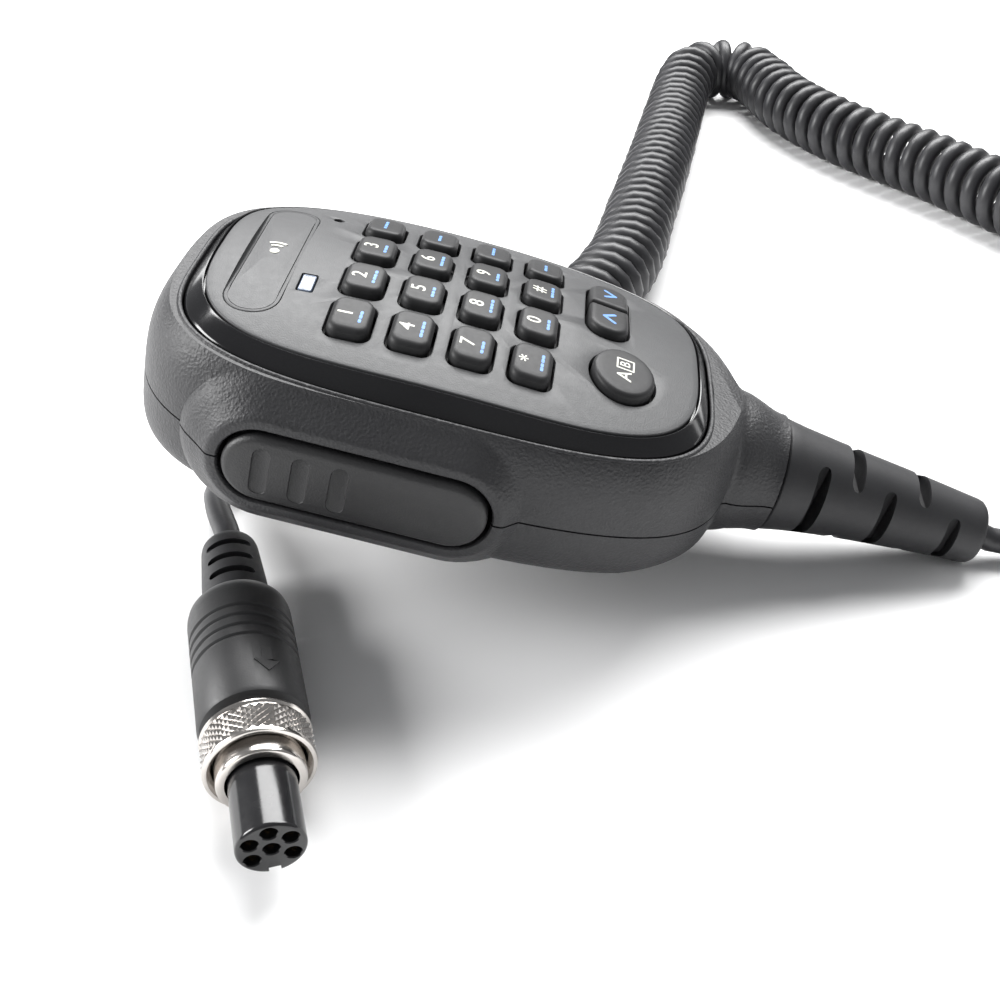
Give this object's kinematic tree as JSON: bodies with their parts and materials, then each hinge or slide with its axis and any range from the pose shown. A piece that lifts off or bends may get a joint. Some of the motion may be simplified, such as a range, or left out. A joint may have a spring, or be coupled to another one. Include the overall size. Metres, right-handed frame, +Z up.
{
  "type": "hand microphone",
  "caption": "Hand-held radio microphone with a number keypad, up and down keys, a side push-to-talk lever, a hanging button, and a curly cord to a round screw-collar plug.",
  "frame": {"origin": "on the ground under the middle of the microphone's own box, its cord and plug not counted", "axes": "+X along the microphone towards its cord, +Z up; the push-to-talk lever is on the -Y side and the keypad faces up"},
  "size_m": [0.2124, 0.3328, 0.0545],
  "materials": {
    "case": "leather-grained moulding",
    "face": "fine satin grain",
    "bezel": "polished",
    "keys": "matt lacquered rubber",
    "lens": "smoked clear",
    "soft_rubber": "satin",
    "cord": "satin vinyl",
    "plated": "bright nickel plate",
    "steel": "zinc plated",
    "gold": "gold plate",
    "board": "green solder mask",
    "inner": "plain"
  },
  "bodies": {
    "case": {"button_screw": "steel", "capsule_boot": "soft_rubber", "case_screw_1": "steel", "case_screw_2": "steel", "case_screw_3": "steel", "case_screw_4": "steel", "circuit_board": "board", "contact_1": "gold", "contact_2": "gold", "contact_3": "gold", "contact_4": "gold", "contact_5": "gold", "contact_6": "gold", "cord_clamp": "inner", "cord_in_neck": "cord", "cord_lead": "cord", "cord_socket": "inner", "cord_tail": "cord", "curly_cord": "cord", "face_bezel": "bezel", "face_panel": "face", "front_shell": "case", "hang_button": "plated", "keypad_membrane": "soft_rubber", "led_chip": "lens", "led_lens": "lens", "mic_capsule": "steel", "nameplate": "face", "plug_body": "case", "plug_boot": "soft_rubber", "plug_insert": "bezel", "plug_sleeve": "plated", "ptt_pin": "steel", "ptt_switch": "inner", "rear_shell": "case", "strain_relief": "soft_rubber"},
    "key_0": {"key_0": "keys"},
    "key_1": {"key_1": "keys"},
    "key_2": {"key_2": "keys"},
    "key_3": {"key_3": "keys"},
    "key_4": {"key_4": "keys"},
    "key_5": {"key_5": "keys"},
    "key_6": {"key_6": "keys"},
    "key_7": {"key_7": "keys"},
    "key_8": {"key_8": "keys"},
    "key_9": {"key_9": "keys"},
    "key_star": {"key_star": "keys"},
    "key_hash": {"key_hash": "keys"},
    "key_a": {"key_a": "keys"},
    "key_b": {"key_b": "keys"},
    "key_c": {"key_c": "keys"},
    "key_d": {"key_d": "keys"},
    "up_key": {"up_key": "keys"},
    "down_key": {"down_key": "keys"},
    "ab_key": {"ab_key": "keys"},
    "ptt": {"ptt_lever": "case", "ptt_spring": "steel"},
    "ptt_switch_plunger": {"ptt_plunger": "inner"},
    "collar_nut": {"coupling_nut": "plated"}
  },
  "joints": [
    {"name": "key_0_press", "type": "slide", "parent": "case", "child": "key_0", "axis": [-0.2368, 0, -0.9715], "range_m": [0, 0.0009], "stiffness_N_per_m": 800, "springref_m": -0.0006},
    {"name": "key_1_press", "type": "slide", "parent": "case", "child": "key_1", "axis": [-0.2368, 0, -0.9715], "range_m": [0, 0.0009], "stiffness_N_per_m": 800, "springref_m": -0.0006},
    {"name": "key_2_press", "type": "slide", "parent": "case", "child": "key_2", "axis": [-0.2368, 0, -0.9715], "range_m": [0, 0.0009], "stiffness_N_per_m": 800, "springref_m": -0.0006},
    {"name": "key_3_press", "type": "slide", "parent": "case", "child": "key_3", "axis": [-0.2368, 0, -0.9715], "range_m": [0, 0.0009], "stiffness_N_per_m": 800, "springref_m": -0.0006},
    {"name": "key_4_press", "type": "slide", "parent": "case", "child": "key_4", "axis": [-0.2368, 0, -0.9715], "range_m": [0, 0.0009], "stiffness_N_per_m": 800, "springref_m": -0.0006},
    {"name": "key_5_press", "type": "slide", "parent": "case", "child": "key_5", "axis": [-0.2368, 0, -0.9715], "range_m": [0, 0.0009], "stiffness_N_per_m": 800, "springref_m": -0.0006},
    {"name": "key_6_press", "type": "slide", "parent": "case", "child": "key_6", "axis": [-0.2368, 0, -0.9715], "range_m": [0, 0.0009], "stiffness_N_per_m": 800, "springref_m": -0.0006},
    {"name": "key_7_press", "type": "slide", "parent": "case", "child": "key_7", "axis": [-0.2368, 0, -0.9715], "range_m": [0, 0.0009], "stiffness_N_per_m": 800, "springref_m": -0.0006},
    {"name": "key_8_press", "type": "slide", "parent": "case", "child": "key_8", "axis": [-0.2368, 0, -0.9715], "range_m": [0, 0.0009], "stiffness_N_per_m": 800, "springref_m": -0.0006},
    {"name": "key_9_press", "type": "slide", "parent": "case", "child": "key_9", "axis": [-0.2368, 0, -0.9715], "range_m": [0, 0.0009], "stiffness_N_per_m": 800, "springref_m": -0.0006},
    {"name": "key_star_press", "type": "slide", "parent": "case", "child": "key_star", "axis": [-0.2368, 0, -0.9715], "range_m": [0, 0.0009], "stiffness_N_per_m": 800, "springref_m": -0.0006},
    {"name": "key_hash_press", "type": "slide", "parent": "case", "child": "key_hash", "axis": [-0.2368, 0, -0.9715], "range_m": [0, 0.0009], "stiffness_N_per_m": 800, "springref_m": -0.0006},
    {"name": "key_a_press", "type": "slide", "parent": "case", "child": "key_a", "axis": [-0.2368, 0, -0.9715], "range_m": [0, 0.0009], "stiffness_N_per_m": 800, "springref_m": -0.0006},
    {"name": "key_b_press", "type": "slide", "parent": "case", "child": "key_b", "axis": [-0.2368, 0, -0.9715], "range_m": [0, 0.0009], "stiffness_N_per_m": 800, "springref_m": -0.0006},
    {"name": "key_c_press", "type": "slide", "parent": "case", "child": "key_c", "axis": [-0.2368, 0, -0.9715], "range_m": [0, 0.0009], "stiffness_N_per_m": 800, "springref_m": -0.0006},
    {"name": "key_d_press", "type": "slide", "parent": "case", "child": "key_d", "axis": [-0.2368, 0, -0.9715], "range_m": [0, 0.0009], "stiffness_N_per_m": 800, "springref_m": -0.0006},
    {"name": "up_key_press", "type": "slide", "parent": "case", "child": "up_key", "axis": [-0.2368, 0, -0.9715], "range_m": [0, 0.0009], "stiffness_N_per_m": 800, "springref_m": -0.0006},
    {"name": "down_key_press", "type": "slide", "parent": "case", "child": "down_key", "axis": [-0.2368, 0, -0.9715], "range_m": [0, 0.0009], "stiffness_N_per_m": 800, "springref_m": -0.0006},
    {"name": "ab_key_press", "type": "slide", "parent": "case", "child": "ab_key", "axis": [-0.2368, 0, -0.9715], "range_m": [0, 0.0009], "stiffness_N_per_m": 800, "springref_m": -0.0006},
    {"name": "ptt_press", "type": "hinge", "parent": "case", "child": "ptt", "pos_m": [-0.01473, -0.0258, 0.02725], "axis": [-0.2368, 0, -0.9715], "range_deg": [0, 3.2], "stiffness_Nm_per_rad": 0.5, "springref_deg": -5.73},
    {"name": "ptt_plunger_slide", "type": "slide", "parent": "case", "child": "ptt_switch_plunger", "axis": [0, 1, 0], "range_m": [0, 0.0014]},
    {"name": "coupling_nut_spin", "type": "hinge", "parent": "case", "child": "collar_nut", "pos_m": [-0.0411, -0.06209, 0.0081], "axis": [0.3499, -0.9368, 0], "continuous": true}
  ],
  "couplings": [
    {"joint": "ptt_plunger_slide", "follows": "ptt_press", "m_per_rad": 0.0245}
  ]
}
